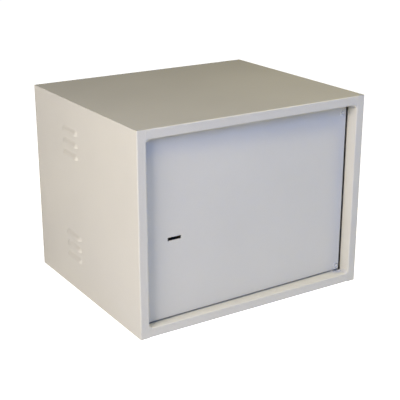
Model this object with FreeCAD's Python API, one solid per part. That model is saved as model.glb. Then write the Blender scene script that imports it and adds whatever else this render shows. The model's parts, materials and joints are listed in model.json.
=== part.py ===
"""Lockable steel cabinet for 19 inch network equipment, 8 units high.

Row frame, millimetres: +X to the right as seen from the front, +Y to the back, +Z up.
The origin is the middle of the footprint, on the surface that the cabinet stands on.
The case is five folded sheets welded at their edges. The front sheets fold in as a narrow
frame with a deep reveal, and the pan-shaped door sits back in that reveal on two pivot pins.
Everything on the door is drawn with the door shut, then swung to its resting angle.
A safe-type key lock behind the door throws one bolt behind the left stile of the frame.
Inside, two 19 inch rails stand on four slotted depth rails.
"""

import FreeCAD
import Part
import math
import os

from FreeCAD import Vector

# ---------------------------------------------------------------- driving dimensions
WIDTH = 530.0
DEPTH = 450.0
HEIGHT = 410.0
SHEET = 1.5  # body sheet thickness
BEND = 2.5  # outside radius of every fold
FRAME_FACE = 19.5  # width of the frame seen from the front
STILE_RETURN = 27.5  # reveal depth of the two upright sides
RAIL_RETURN = 45.0  # reveal depth of the top and bottom, which hold the pivot pins
REAR_FLANGE = 15.0

DOOR_RECESS = 25.0
DOOR_SHEET = 2.0
DOOR_GAP = 3.0
HINGE_GAP = 5.5
DOOR_RETURN = 18.0
DOOR_AJAR = 1.0  # degrees that the resting door stands open

HINGE_INSET = 11.0  # pivot axis from the door's right edge
HINGE_SETBACK = 7.0  # pivot axis behind the door's face
PIN_RADIUS = 3.0
RUNNING_CLEARANCE = 0.05
WASHER_GAP = 0.3

KEY_X = -178.8  # keyhole centre
KEY_Z = 184.4
KEY_SLOT_WIDTH = 30.6
KEY_SLOT_HEIGHT = 7.0
BOLT_THROW = 10.0

LOUVRE_LENGTH = 78.0
LOUVRE_HEIGHT = 15.0
LOUVRE_RISE = 5.0
LOUVRE_Y = 55.0
LOUVRE_LIPS = (68.0, 93.0, 118.0, 292.0, 317.0, 342.0)

UNIT = 44.45
UNITS = 8
RACK_HOLE_X = 465.1 / 2
RACK_HOLE = 9.5  # square hole for a cage nut
UNIT_HOLES = (6.35, 22.225, 38.1)  # hole centres above the foot of each unit
RACK_CLEAR_X = 225.2
RACK_FACE_Y = -150.0
RAIL_SHEET = 2.0
DEPTH_RAIL_LEVELS = (30.0, 380.0)

WALL_HOLE_X = 215.0
WALL_HOLE_LEVELS = (50.0, 360.0)
WALL_HOLE_RADIUS = 5.0

# ---------------------------------------------------------------- derived places
LEFT, RIGHT = -WIDTH / 2, WIDTH / 2
FRONT, BACK = -DEPTH / 2, DEPTH / 2
OPENING_X = WIDTH / 2 - FRAME_FACE
OPENING_LOW = FRAME_FACE
OPENING_HIGH = HEIGHT - FRAME_FACE
DOOR_LEFT = -OPENING_X + DOOR_GAP
DOOR_RIGHT = OPENING_X - HINGE_GAP
DOOR_LOW = OPENING_LOW + DOOR_GAP
DOOR_HIGH = OPENING_HIGH - DOOR_GAP
DOOR_FACE = FRONT + DOOR_RECESS
DOOR_SKIN_BACK = DOOR_FACE + DOOR_SHEET
DOOR_REAR = DOOR_FACE + DOOR_RETURN
HINGE_X = DOOR_RIGHT - HINGE_INSET
HINGE_Y = DOOR_FACE + HINGE_SETBACK
BACK_PANEL_FRONT = BACK - SHEET
RACK_FOOT = (HEIGHT - UNITS * UNIT) / 2


# ---------------------------------------------------------------- building helpers
def block(x0, x1, y0, y1, z0, z1):
    """A box between two corners."""
    return Part.makeBox(x1 - x0, y1 - y0, z1 - z0, Vector(x0, y0, z0))


def rod(radius, start, end):
    """A cylinder between two points."""
    start, end = Vector(*start), Vector(*end)
    return Part.makeCylinder(radius, (end - start).Length, start, end - start)


def ring(outer, inner, start, end):
    """A washer or bush between two points."""
    return rod(outer, start, end).cut(rod(inner, start, end))


def hexagon(across_flats, start, end):
    """A hexagonal prism between two points."""
    start, end = Vector(*start), Vector(*end)
    axis = (end - start).normalize()
    side = Vector(0, 0, 1) if abs(axis.z) < 0.9 else Vector(1, 0, 0)
    other = axis.cross(side)
    radius = across_flats / math.sqrt(3)
    corners = []
    for i in range(7):
        angle = math.radians(60 * i)
        corners.append(start + side * radius * math.cos(angle) + other * radius * math.sin(angle))
    return Part.Face(Part.makePolygon(corners)).extrude(axis * (Vector(*end) - start).Length)


def mirrored(shape):
    """The same shape on the other side of the cabinet."""
    return shape.mirror(Vector(0, 0, 0), Vector(1, 0, 0))


def joined(shapes):
    """One solid out of shapes that touch or overlap."""
    whole = shapes[0].multiFuse(shapes[1:]) if len(shapes) > 1 else shapes[0]
    return whole.removeSplitter()


def sheet_side(path, offset, bend_radius):
    """Points and arcs of one face of a folded sheet, at an offset to the left of its middle line."""
    runs, start = [], None
    for i, corner in enumerate(path):
        before = (corner - path[i - 1]).normalize() if i else None
        after = (path[i + 1] - corner).normalize() if i < len(path) - 1 else None
        if before is None:
            start = corner + Vector(-after.y, after.x) * offset
            continue
        left = Vector(-before.y, before.x)
        if after is None:
            runs.append((start, None, corner + left * offset))
            continue
        turn = 1 if before.cross(after).z > 0 else -1
        reach = bend_radius * math.tan(before.getAngle(after) / 2)
        bend_in, bend_out = corner - before * reach, corner + after * reach
        centre = bend_in + left * bend_radius * turn
        outward = (corner - centre).normalize()
        first = bend_in + left * offset
        last = bend_out + Vector(-after.y, after.x) * offset
        runs.append((start, None, first))
        runs.append((first, centre + outward * (bend_radius - turn * offset), last))
        start = last
    return runs


def folded_sheet(path, thickness, to_space, extent):
    """A folded sheet. path holds the corners of its middle line, to_space puts them in 3D."""
    path = [Vector(u, v) for u, v in path]
    middle_bend = BEND - thickness / 2
    near = sheet_side(path, thickness / 2, middle_bend)
    far = sheet_side(path, -thickness / 2, middle_bend)
    edges = []
    for side in (near, far):
        for start, middle, end in side:
            if middle is None:
                edges.append(Part.LineSegment(to_space(start), to_space(end)).toShape())
            else:
                arc = Part.Arc(to_space(start), to_space(middle), to_space(end))
                edges.append(arc.toShape())
    for end in (0, -1):
        point = 0 if end == 0 else 2
        cap = Part.LineSegment(to_space(near[end][point]), to_space(far[end][point]))
        edges.append(cap.toShape())
    outline = Part.Wire(Part.__sortEdges__(edges))
    return Part.Face(outline).extrude(extent)


def upright_sheet(path, thickness, z0, z1):
    """A folded sheet whose cross-section lies in X and Y."""
    return folded_sheet(path, thickness, lambda p: Vector(p.x, p.y, z0), Vector(0, 0, z1 - z0))


def level_sheet(path, thickness, x0, x1):
    """A folded sheet whose cross-section lies in Y and Z."""
    return folded_sheet(path, thickness, lambda p: Vector(x0, p.x, p.y), Vector(x1 - x0, 0, 0))


def swung(shape):
    """A piece of the door, turned about the pivots from shut to the resting angle."""
    turned = shape.copy()
    turned.rotate(Vector(HINGE_X, HINGE_Y, 0), Vector(0, 0, 1), DOOR_AJAR)
    return turned


def export(name, shape):
    """Writes one named sub-part."""
    solids = shape.Solids
    assert solids and all(s.isValid() and s.Volume > 0 for s in solids), name
    Part.makeCompound(solids).exportStep("parts/" + name + ".step")
    print(name, len(solids), "solids", round(sum(s.Volume for s in solids)), "mm3")


# ---------------------------------------------------------------- case
def hood(wall_offset, y_centre, lip):
    """The body of one louvre, out to its pressed surface set in by wall_offset."""
    # two equal tangent arcs rise from the sheet to the lip; the upper one ends just inside it
    sink = 0.3
    rise, height = LOUVRE_RISE + sink, LOUVRE_HEIGHT
    radius = (rise * rise + height * height) / (4 * rise)
    half_turn = math.asin(height / 2 / radius) / 2

    def on_lower(angle):
        r = radius - wall_offset
        return Vector(LEFT - LOUVRE_RISE + radius - r * math.cos(angle), 0, r * math.sin(angle))

    def on_upper(angle):
        r = radius + wall_offset
        return Vector(LEFT + sink - radius + r * math.cos(angle), 0, height - r * math.sin(angle))

    inner_x = LEFT + sink + wall_offset
    lip_point, top_point = on_lower(0), on_upper(0)
    outline = [
        Part.Arc(lip_point, on_lower(half_turn), on_lower(2 * half_turn)).toShape(),
        Part.Arc(on_lower(2 * half_turn), on_upper(half_turn), top_point).toShape(),
        Part.LineSegment(top_point, Vector(inner_x, 0, 0)).toShape(),
        Part.LineSegment(Vector(inner_x, 0, 0), lip_point).toShape(),
    ]
    section = Part.Face(Part.Wire(Part.__sortEdges__(outline)))
    straight = LOUVRE_LENGTH - 2 * height
    middle = section.extrude(Vector(0, straight, 0))
    near_end = section.revolve(Vector(0, 0, 0), Vector(1, 0, 0), 90)
    far_end = near_end.mirror(Vector(0, straight / 2, 0), Vector(0, 1, 0))
    whole = middle.multiFuse([near_end, far_end])
    whole.translate(Vector(0, y_centre - straight / 2, lip))
    return whole


def side_panel():
    """The left side: wall, frame stile with its reveal, rear flange and two banks of louvres."""
    mid = SHEET / 2
    stile_mid = -OPENING_X - mid
    rear = [(LEFT + mid, BACK_PANEL_FRONT - mid), (LEFT + SHEET + REAR_FLANGE, BACK_PANEL_FRONT - mid)]
    outer = [(LEFT + mid, FRONT + mid)] + rear
    reveal = [(stile_mid, FRONT + STILE_RETURN), (stile_mid, FRONT + mid)]
    beside_opening = upright_sheet(reveal + outer, SHEET, OPENING_LOW, OPENING_HIGH)
    plain = [(-OPENING_X, FRONT + mid)] + outer
    below = upright_sheet(plain, SHEET, 0, OPENING_LOW)
    above = upright_sheet(plain, SHEET, OPENING_HIGH, HEIGHT)
    panel = joined([beside_opening, below, above])
    for low in (0, HEIGHT - SHEET):
        room = block(LEFT + SHEET, -OPENING_X + 1, FRONT + SHEET, BACK, low, low + SHEET)
        panel = panel.cut(room)
    for lip in LOUVRE_LIPS:
        panel = panel.fuse(hood(0, LOUVRE_Y, lip))
        panel = panel.cut(hood(SHEET, LOUVRE_Y, lip))
    trim = block(LEFT + SHEET, LEFT + 2 * SHEET, LOUVRE_Y - LOUVRE_LENGTH, LOUVRE_Y + LOUVRE_LENGTH,
                 LOUVRE_LIPS[0] - 5, LOUVRE_LIPS[-1] + 2 * LOUVRE_HEIGHT)
    return panel.cut(trim).removeSplitter()


def top_panel():
    """The top: flat sheet, frame rail with its reveal, rear flange."""
    mid = SHEET / 2
    inside_x = RIGHT - SHEET
    path = [
        (FRONT + RAIL_RETURN, OPENING_HIGH + mid),
        (FRONT + mid, OPENING_HIGH + mid),
        (FRONT + mid, HEIGHT - mid),
        (BACK_PANEL_FRONT - mid, HEIGHT - mid),
        (BACK_PANEL_FRONT - mid, HEIGHT - SHEET - REAR_FLANGE),
    ]
    panel = level_sheet(path, SHEET, -inside_x, inside_x)
    under = HEIGHT - SHEET
    flange_x = inside_x - REAR_FLANGE + 0.5
    notches = [
        block(OPENING_X, WIDTH, FRONT - 1, FRONT + SHEET, 0, HEIGHT + 1),
        block(OPENING_X, WIDTH, FRONT - 1, FRONT + 2 * RAIL_RETURN, 0, under),
        block(flange_x, WIDTH, BACK - 3 * SHEET, BACK, 0, under),
    ]
    for notch in notches:
        panel = panel.cut(notch).cut(mirrored(notch))
    pin_from, pin_to = OPENING_HIGH - 1, OPENING_HIGH + SHEET + 1
    return panel.cut(rod(PIN_RADIUS, (HINGE_X, HINGE_Y, pin_from), (HINGE_X, HINGE_Y, pin_to)))


def bottom_panel():
    """The bottom is the top panel turned over."""
    return top_panel().mirror(Vector(0, 0, HEIGHT / 2), Vector(0, 0, 1))


CABLE_CUT_X, CABLE_CUT_LOW, CABLE_CUT_HIGH = 120.0, 48.0, 112.0
CABLE_PLATE_MARGIN = 14.0
CABLE_PLATE = 2.0
STUD_RADIUS, STUD_LENGTH = 2.0, 8.0
STUD_HOLE_RADIUS = 2.3
STUD_NUT_FLATS, STUD_NUT_HEIGHT = 7.0, 3.2
GROMMET_X = 60.0
GROMMET_RIM = 3.0
GROMMET_BORE, GROMMET_GROOVE, GROMMET_FLANGE = 16.0, 22.0, 26.0


def back_panel():
    """Flat rear sheet with four wall-fixing holes and a cable cut-out."""
    panel = block(LEFT, RIGHT, BACK_PANEL_FRONT, BACK, 0, HEIGHT)
    for z in WALL_HOLE_LEVELS:
        for x in (-WALL_HOLE_X, WALL_HOLE_X):
            panel = panel.cut(rod(WALL_HOLE_RADIUS, (x, BACK - 5, z), (x, BACK + 5, z)))
    cut_out = block(-CABLE_CUT_X, CABLE_CUT_X, BACK - 5, BACK + 5, CABLE_CUT_LOW, CABLE_CUT_HIGH)
    corners = [e for e in cut_out.Edges if abs(e.tangentAt(e.FirstParameter).y) > 0.9]
    return panel.cut(cut_out.makeFillet(5, corners))


def cable_entry():
    """Cover plate over the cut-out with two rubber grommets, held on four welded studs."""
    middle_z = (CABLE_CUT_LOW + CABLE_CUT_HIGH) / 2
    plate_back = BACK_PANEL_FRONT
    plate_front = plate_back - CABLE_PLATE
    edge = CABLE_PLATE_MARGIN
    plate = block(-CABLE_CUT_X - edge, CABLE_CUT_X + edge, plate_front, plate_back,
                  CABLE_CUT_LOW - edge, CABLE_CUT_HIGH + edge)
    corners = [e for e in plate.Edges if abs(e.tangentAt(e.FirstParameter).y) > 0.9]
    plate = plate.makeFillet(4, corners)
    grommets = []
    for x in (-GROMMET_X, GROMMET_X):
        plate = plate.cut(rod(GROMMET_GROOVE, (x, plate_front - 1, middle_z), (x, plate_back + 1, middle_z)))
        rim_front, rim_back = plate_front - GROMMET_RIM, BACK
        body = joined([
            rod(GROMMET_FLANGE, (x, rim_front, middle_z), (x, plate_front, middle_z)),
            rod(GROMMET_GROOVE, (x, plate_front, middle_z), (x, plate_back, middle_z)),
            rod(GROMMET_FLANGE, (x, plate_back, middle_z), (x, rim_back, middle_z)),
        ])
        bore = rod(GROMMET_BORE, (x, rim_front - 1, middle_z), (x, rim_back + 1, middle_z))
        grommets.append(body.cut(bore))
    studs, nuts = [], []
    for x in (-CABLE_CUT_X - edge / 2, CABLE_CUT_X + edge / 2):
        for z in (CABLE_CUT_LOW - edge / 2, CABLE_CUT_HIGH + edge / 2):
            plate = plate.cut(rod(STUD_HOLE_RADIUS, (x, plate_front - 1, z), (x, plate_back + 1, z)))
            studs.append(rod(STUD_RADIUS, (x, plate_front - STUD_LENGTH, z), (x, plate_back, z)))
            nut_front = plate_front - STUD_NUT_HEIGHT
            nut = hexagon(STUD_NUT_FLATS, (x, nut_front, z), (x, plate_front, z))
            nuts.append(nut.cut(rod(STUD_RADIUS, (x, nut_front - 1, z), (x, plate_front + 1, z))))
    export("cable_entry_plate", plate)
    export("cable_grommet_left", grommets[0])
    export("cable_grommet_right", grommets[1])
    export("cable_plate_studs", Part.makeCompound(studs))
    export("cable_plate_nuts", Part.makeCompound(nuts))


def corner_weld(leg, y0, y1):
    """A concave weld fillet along the lower left corner of the reveal."""
    x, z = -OPENING_X, OPENING_LOW
    inset = leg * (1 - math.sqrt(0.5))
    corner, beside, above = Vector(x, y0, z), Vector(x + leg, y0, z), Vector(x, y0, z + leg)
    edges = [
        Part.LineSegment(beside, corner).toShape(),
        Part.LineSegment(corner, above).toShape(),
        Part.Arc(above, Vector(x + inset, y0, z + inset), beside).toShape(),
    ]
    return Part.Face(Part.Wire(Part.__sortEdges__(edges))).extrude(Vector(0, y1 - y0, 0))


def corner_welds():
    """The four welds where the stiles meet the rails."""
    low_left = corner_weld(5.0, FRONT + BEND, DOOR_FACE - 1.5)
    high_left = low_left.mirror(Vector(0, 0, HEIGHT / 2), Vector(0, 0, 1))
    welds = [low_left, high_left]
    return Part.makeCompound(welds + [mirrored(w) for w in welds])


# ---------------------------------------------------------------- door and pivots
LOWER_BUSH = (DOOR_LOW + DOOR_SHEET, DOOR_LOW + DOOR_SHEET + 18.0)
UPPER_BUSH = (DOOR_HIGH - DOOR_SHEET - 30.0, DOOR_HIGH - DOOR_SHEET)
PLUG_RADIUS = 5.0
PLUG_CAP_RADIUS = 6.0
PIN_HEAD_RADIUS, PIN_HEAD = 6.0, 3.0
WASHER_RADIUS = 8.0
BUSH_HALF = 7.0
PLUG_CAP = 0.8
BOLT_FRONT, BOLT_BACK = -187.6, -180.0
BOLT_HALF_HEIGHT = 15.0
BOLT_CLEARANCE = 0.4


def plug_levels():
    """Height of the weld plug at the middle of each hinge bush."""
    return [sum(span) / 2 for span in (LOWER_BUSH, UPPER_BUSH)]


def door_panel():
    """A pan pressed from thicker sheet, open at the back."""
    outer = block(DOOR_LEFT, DOOR_RIGHT, DOOR_FACE, DOOR_REAR, DOOR_LOW, DOOR_HIGH)
    t = DOOR_SHEET
    inner = block(DOOR_LEFT + t, DOOR_RIGHT - t, DOOR_FACE + t, DOOR_REAR + t, DOOR_LOW + t, DOOR_HIGH - t)

    def rounded(solid, face_y, radius):
        edges = []
        for edge in solid.Edges:
            box = edge.BoundBox
            on_face = box.YLength < 1e-6 and abs(box.YMin - face_y) < 1e-6
            along_depth = box.YLength > 1
            if on_face or along_depth:
                edges.append(edge)
        return solid.makeFillet(radius, edges)

    pan = rounded(outer, DOOR_FACE, BEND).cut(rounded(inner, DOOR_FACE + t, BEND - t))
    slot_x, slot_z = KEY_SLOT_WIDTH / 2, KEY_SLOT_HEIGHT / 2
    pan = pan.cut(block(KEY_X - slot_x, KEY_X + slot_x, DOOR_FACE - 1, DOOR_FACE + t + 1,
                        KEY_Z - slot_z, KEY_Z + slot_z))
    half = BOLT_HALF_HEIGHT + BOLT_CLEARANCE
    pan = pan.cut(block(DOOR_LEFT - 1, DOOR_LEFT + t + 1, BOLT_FRONT - BOLT_CLEARANCE,
                        BOLT_BACK + 1, KEY_Z - half, KEY_Z + half))
    pan = pan.cut(rod(PIN_RADIUS + 0.3, (HINGE_X, HINGE_Y, DOOR_LOW - 1), (HINGE_X, HINGE_Y, DOOR_HIGH + 1)))
    for z in plug_levels():
        pan = pan.cut(rod(PLUG_RADIUS, (HINGE_X, DOOR_FACE - 1, z), (HINGE_X, DOOR_FACE + t, z)))
    return pan


def door_stiffener():
    """Upright hat section spot-welded behind the door's skin."""
    half, rise, foot = 16.0, 11.0, 14.0
    t = SHEET
    y0 = DOOR_SKIN_BACK + t / 2
    left = [(-half - foot, y0), (-half, y0), (-half, y0 + rise)]
    path = left + [(-x, y) for x, y in reversed(left)]
    return upright_sheet(path, t, DOOR_LOW + 20, DOOR_HIGH - 20)


def plug_weld(z):
    """Filled weld through the skin with a low domed cap that has a dimple in its middle."""
    dome, dimple = 24.0, 4.0
    cap = rod(PLUG_CAP_RADIUS, (HINGE_X, DOOR_FACE - PLUG_CAP, z), (HINGE_X, DOOR_FACE, z))
    ball = Part.makeSphere(dome, Vector(HINGE_X, DOOR_FACE - PLUG_CAP + dome, z))
    hollow = Part.makeSphere(dimple, Vector(HINGE_X, DOOR_FACE - PLUG_CAP - dimple + 0.5, z))
    plug = rod(PLUG_RADIUS, (HINGE_X, DOOR_FACE, z), (HINGE_X, DOOR_SKIN_BACK, z))
    return joined([cap.common(ball).cut(hollow), plug])


def hinge_parts():
    """Pivot pins fixed in the frame, bushes welded in the door, and the washer that carries it."""
    half, rear = BUSH_HALF, HINGE_Y + BUSH_HALF
    pan = door_panel()
    for name, (low, high) in (("hinge_bush_lower", LOWER_BUSH), ("hinge_bush_upper", UPPER_BUSH)):
        bush = block(HINGE_X - half, HINGE_X + half, DOOR_SKIN_BACK, rear, low, high)
        bore = rod(PIN_RADIUS + RUNNING_CLEARANCE, (HINGE_X, HINGE_Y, low - 1), (HINGE_X, HINGE_Y, high + 1))
        export(name, swung(bush.cut(bore).cut(pan)))
    export("hinge_plug_welds", swung(Part.makeCompound([plug_weld(z) for z in plug_levels()])))

    floor_under = OPENING_LOW - SHEET
    lower = joined([
        rod(PIN_HEAD_RADIUS, (HINGE_X, HINGE_Y, floor_under - PIN_HEAD), (HINGE_X, HINGE_Y, floor_under)),
        rod(PIN_RADIUS, (HINGE_X, HINGE_Y, floor_under), (HINGE_X, HINGE_Y, LOWER_BUSH[1] - 2)),
    ])
    roof_over = OPENING_HIGH + SHEET
    upper = joined([
        rod(PIN_HEAD_RADIUS, (HINGE_X, HINGE_Y, roof_over), (HINGE_X, HINGE_Y, roof_over + PIN_HEAD)),
        rod(PIN_RADIUS, (HINGE_X, HINGE_Y, UPPER_BUSH[0] + 2), (HINGE_X, HINGE_Y, roof_over)),
    ])
    export("hinge_pin_lower", lower)
    export("hinge_pin_upper", upper)
    seat, washer_top = (HINGE_X, HINGE_Y, OPENING_LOW), (HINGE_X, HINGE_Y, DOOR_LOW - WASHER_GAP)
    export("hinge_washer", ring(WASHER_RADIUS, PIN_RADIUS, seat, washer_top))


STOP_LEVEL = 75.0  # height of a stop bracket above the foot, and below the top
STOP_HALF_HEIGHT = 10.0
STOP_LEG = 28.0
BUMPER_RADIUS, BUMPER = 6.0, 2.5


def door_stops():
    """Two angle brackets on the left wall with rubber bumpers that the shut door rests on."""
    bumpers = []
    for name, z in (("door_stop_lower", STOP_LEVEL), ("door_stop_upper", HEIGHT - STOP_LEVEL)):
        arm_front = DOOR_REAR + WASHER_GAP + BUMPER
        mid = RAIL_SHEET / 2
        wall = LEFT + SHEET + mid
        path = [(DOOR_LEFT + 12, arm_front + mid), (wall, arm_front + mid), (wall, arm_front + STOP_LEG)]
        export(name, upright_sheet(path, RAIL_SHEET, z - STOP_HALF_HEIGHT, z + STOP_HALF_HEIGHT))
        x = DOOR_LEFT + 4
        bumpers.append(rod(BUMPER_RADIUS, (x, arm_front - BUMPER, z), (x, arm_front, z)))
    export("door_stop_bumpers", Part.makeCompound(bumpers))


# ---------------------------------------------------------------- lock
PLATE = 3.0
CASE_FRONT = DOOR_SKIN_BACK + PLATE
CASE_BASE = 2.0
CASE_BACK = -176.0
COVER = 1.5
CASE_LEFT, CASE_RIGHT = KEY_X - 53.0, KEY_X + 37.0
CASE_LOW, CASE_HIGH = KEY_Z - 31.0, KEY_Z + 31.0
CASE_WALL = 2.0
DRUM_RADIUS = 17.0
DRUM_CLEARANCE = 0.1
BARREL_RADIUS = 6.0
CRANK = BOLT_THROW / 2
CRANK_PIN = 2.0
YOKE_PLAY = 1.5
YOKE_FRONT, YOKE_BACK = -180.0, -177.0
LOCK_SCREWS = [(x, z) for x in (CASE_LEFT + 6, CASE_RIGHT - 6) for z in (CASE_LOW + 5, CASE_HIGH - 5)]
SCREW_RADIUS, SCREW_HEAD_RADIUS, SCREW_HEAD = 2.5, 4.5, 2.8
SCREW_SOCKET, SOCKET_DEPTH = 3.0, 1.8
LEVERS = 6
LEVER_PITCH = 1.8
LEVER_FRONT = CASE_FRONT + CASE_BASE + 0.6
LEVER_PIVOT = (CASE_RIGHT - 8, CASE_LOW + 17)
STUMP_X, STUMP_Z = CASE_LEFT + 26, KEY_Z + 21.5
STUMP_RADIUS = 1.5
GATE_PLAY = 2.8  # lets the levers lift about 2 degrees
LEVER_TOP = CASE_HIGH - 6.0


def across(radius, x, z, y0, y1):
    """A cylinder that runs front to back."""
    return rod(radius, (x, y0, z), (x, y1, z))


def lock_housing():
    """Mounting plate on the door, the lock's case and cover, and the four screws through them."""
    slot_x, slot_z = KEY_SLOT_WIDTH / 2 + 0.7, KEY_SLOT_HEIGHT / 2 + 0.6
    plate = block(CASE_LEFT - 4, CASE_RIGHT + 12, DOOR_SKIN_BACK, CASE_FRONT, CASE_LOW - 12, CASE_HIGH + 12)
    plate = plate.cut(block(KEY_X - slot_x, KEY_X + slot_x, DOOR_SKIN_BACK - 1, CASE_FRONT + 1,
                            KEY_Z - slot_z, KEY_Z + slot_z))
    case = block(CASE_LEFT, CASE_RIGHT, CASE_FRONT, CASE_BACK, CASE_LOW, CASE_HIGH)
    room = block(CASE_LEFT + CASE_WALL, CASE_RIGHT - CASE_WALL, CASE_FRONT + CASE_BASE, CASE_BACK + 1,
                 CASE_LOW + CASE_WALL, CASE_HIGH - CASE_WALL)
    post = CASE_WALL + 8
    for x0, x1 in ((CASE_LEFT, CASE_LEFT + post), (CASE_RIGHT - post, CASE_RIGHT)):
        for z0, z1 in ((CASE_LOW, CASE_LOW + post), (CASE_HIGH - post, CASE_HIGH)):
            room = room.cut(block(x0, x1, CASE_FRONT, CASE_BACK + 2, z0, z1))
    half = BOLT_HALF_HEIGHT + BOLT_CLEARANCE
    mouth = block(CASE_LEFT - 1, CASE_LEFT + CASE_WALL + 1, BOLT_FRONT - BOLT_CLEARANCE, CASE_BACK + 1,
                  KEY_Z - half, KEY_Z + half)
    case = case.cut(room).cut(mouth)
    base_back = CASE_FRONT + CASE_BASE
    case = case.cut(across(DRUM_RADIUS + DRUM_CLEARANCE, KEY_X, KEY_Z, CASE_FRONT - 1, base_back + 1))
    cover = block(CASE_LEFT, CASE_RIGHT, CASE_BACK, CASE_BACK + COVER, CASE_LOW, CASE_HIGH)
    cover = cover.cut(across(4.0 + DRUM_CLEARANCE, KEY_X, KEY_Z, CASE_BACK - 1, CASE_BACK + COVER + 1))
    screws = []
    head_y = CASE_BACK + COVER
    for x, z in LOCK_SCREWS:
        hole = across(SCREW_RADIUS, x, z, DOOR_SKIN_BACK + 0.5, head_y + 1)
        plate, case, cover = plate.cut(hole), case.cut(hole), cover.cut(hole)
        head_back = head_y + SCREW_HEAD
        shank = across(SCREW_RADIUS, x, z, DOOR_SKIN_BACK + 0.5, head_y)
        screw = joined([shank, across(SCREW_HEAD_RADIUS, x, z, head_y, head_back)])
        socket = hexagon(SCREW_SOCKET, (x, head_back - SOCKET_DEPTH, z), (x, head_back + 1, z))
        screws.append(screw.cut(socket))
    export("lock_mounting_plate", swung(plate))
    export("lock_case", swung(case))
    export("lock_cover", swung(cover))
    export("lock_screws", swung(Part.makeCompound(screws)))


def lock_drum():
    """The keyway drum: slotted disc, split barrel, and a rear crank whose pin drives the bolt."""
    disc_back = CASE_FRONT + CASE_BASE + 0.4
    crank_front = YOKE_FRONT - 2.4
    disc = across(DRUM_RADIUS, KEY_X, KEY_Z, CASE_FRONT + 0.1, disc_back)
    barrel = across(BARREL_RADIUS, KEY_X, KEY_Z, disc_back, crank_front)
    slot_x, slot_z = KEY_SLOT_WIDTH / 2, KEY_SLOT_HEIGHT / 2 - 0.1
    keyway = block(KEY_X - slot_x, KEY_X + slot_x, CASE_FRONT - 1, crank_front,
                   KEY_Z - slot_z, KEY_Z + slot_z)
    crank = across(BARREL_RADIUS + 2, KEY_X, KEY_Z, crank_front, YOKE_FRONT - 0.3)
    pin = across(CRANK_PIN, KEY_X + CRANK, KEY_Z, YOKE_FRONT - 0.3, YOKE_BACK - 0.1)
    return joined([joined([disc, barrel]).cut(keyway), crank, pin])


def lock_bolt():
    """Bolt head in line with the keyhole, and a tail plate with the yoke that the crank pin turns in."""
    tip = DOOR_LEFT + 1.0
    low, high = KEY_Z - BOLT_HALF_HEIGHT, KEY_Z + BOLT_HALF_HEIGHT
    head = block(tip, CASE_LEFT + 13, BOLT_FRONT, BOLT_BACK, low, high)
    nose = [e for e in head.Edges if e.BoundBox.YLength > 1 and abs(e.BoundBox.XMin - tip) < 1e-6]
    head = head.makeFillet(2.0, nose)
    neck = block(CASE_LEFT + 3, CASE_LEFT + 13, BOLT_BACK, YOKE_BACK, KEY_Z - 14, KEY_Z + 14)
    tail = block(CASE_LEFT + 12.5, KEY_X + 16, YOKE_FRONT, YOKE_BACK, KEY_Z - 14, KEY_Z + 14)
    finger = block(STUMP_X - 4, STUMP_X + 4, YOKE_FRONT, YOKE_BACK, KEY_Z + 13, STUMP_Z + 3)
    stump = across(STUMP_RADIUS, STUMP_X, STUMP_Z, LEVER_FRONT + 1, YOKE_FRONT + 0.5)
    bolt = joined([head, neck, tail, finger, stump])
    half_x, half_z = CRANK_PIN + YOKE_PLAY, CRANK + CRANK_PIN + 0.8
    yoke = block(KEY_X + CRANK - half_x, KEY_X + CRANK + half_x, YOKE_FRONT - 1, YOKE_BACK + 1,
                 KEY_Z - half_z, KEY_Z + half_z)
    return bolt.cut(yoke)


def lock_lever(index):
    """One flat lever: a window round the key's sweep and a gate that the bolt's stump runs along."""
    y0 = LEVER_FRONT + index * LEVER_PITCH
    y1 = y0 + 1.2
    plate = block(CASE_LEFT + 13.6, CASE_RIGHT - 4.0, y0, y1, CASE_LOW + 10.6, LEVER_TOP)
    plate = plate.cut(block(CASE_RIGHT - 13, CASE_RIGHT, y0 - 1, y1 + 1, CASE_HIGH - 15, CASE_HIGH))
    window = across(DRUM_RADIUS + 1, KEY_X, KEY_Z, y0 - 1, y1 + 1)
    low = STUMP_Z - STUMP_RADIUS - 0.4
    gate = block(STUMP_X - BOLT_THROW - STUMP_RADIUS - 0.9, STUMP_X + STUMP_RADIUS + 0.9, y0 - 1, y1 + 1,
                 low - GATE_PLAY, STUMP_Z + STUMP_RADIUS + 0.4)
    pivot = across(2.1, LEVER_PIVOT[0], LEVER_PIVOT[1], y0 - 1, y1 + 1)
    return plate.cut(window).cut(gate).cut(pivot)


def lever_spring(y0):
    """A bowed leaf between the case's roof and the top edge of one lever."""
    thickness, half = 0.5, 20.0
    middle_x, low, high = KEY_X - 3, LEVER_TOP, CASE_HIGH - CASE_WALL

    def bow(top, ends):
        left, right = Vector(middle_x - half, y0, ends), Vector(middle_x + half, y0, ends)
        return Part.Arc(left, Vector(middle_x, y0, top), right).toShape()

    outer, inner = bow(high, low + thickness), bow(high - thickness, low)
    sides = [
        Part.LineSegment(outer.Vertexes[i].Point, inner.Vertexes[i].Point).toShape()
        for i in (0, 1)
    ]
    return Part.Face(Part.Wire(Part.__sortEdges__([outer, inner] + sides))).extrude(Vector(0, 0.8, 0))


def lock_inside():
    """The lever pack with its pivot post and springs."""
    levers = [lock_lever(i) for i in range(LEVERS)]
    export("lock_levers", swung(Part.makeCompound(levers)))
    base_back = CASE_FRONT + CASE_BASE
    pack_back = LEVER_FRONT + LEVERS * LEVER_PITCH
    export("lock_lever_pivot", swung(across(2.0, LEVER_PIVOT[0], LEVER_PIVOT[1], base_back, pack_back + 1)))
    springs = [lever_spring(LEVER_FRONT + i * LEVER_PITCH + 0.2) for i in range(LEVERS)]
    export("lock_lever_springs", swung(Part.makeCompound(springs)))


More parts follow.
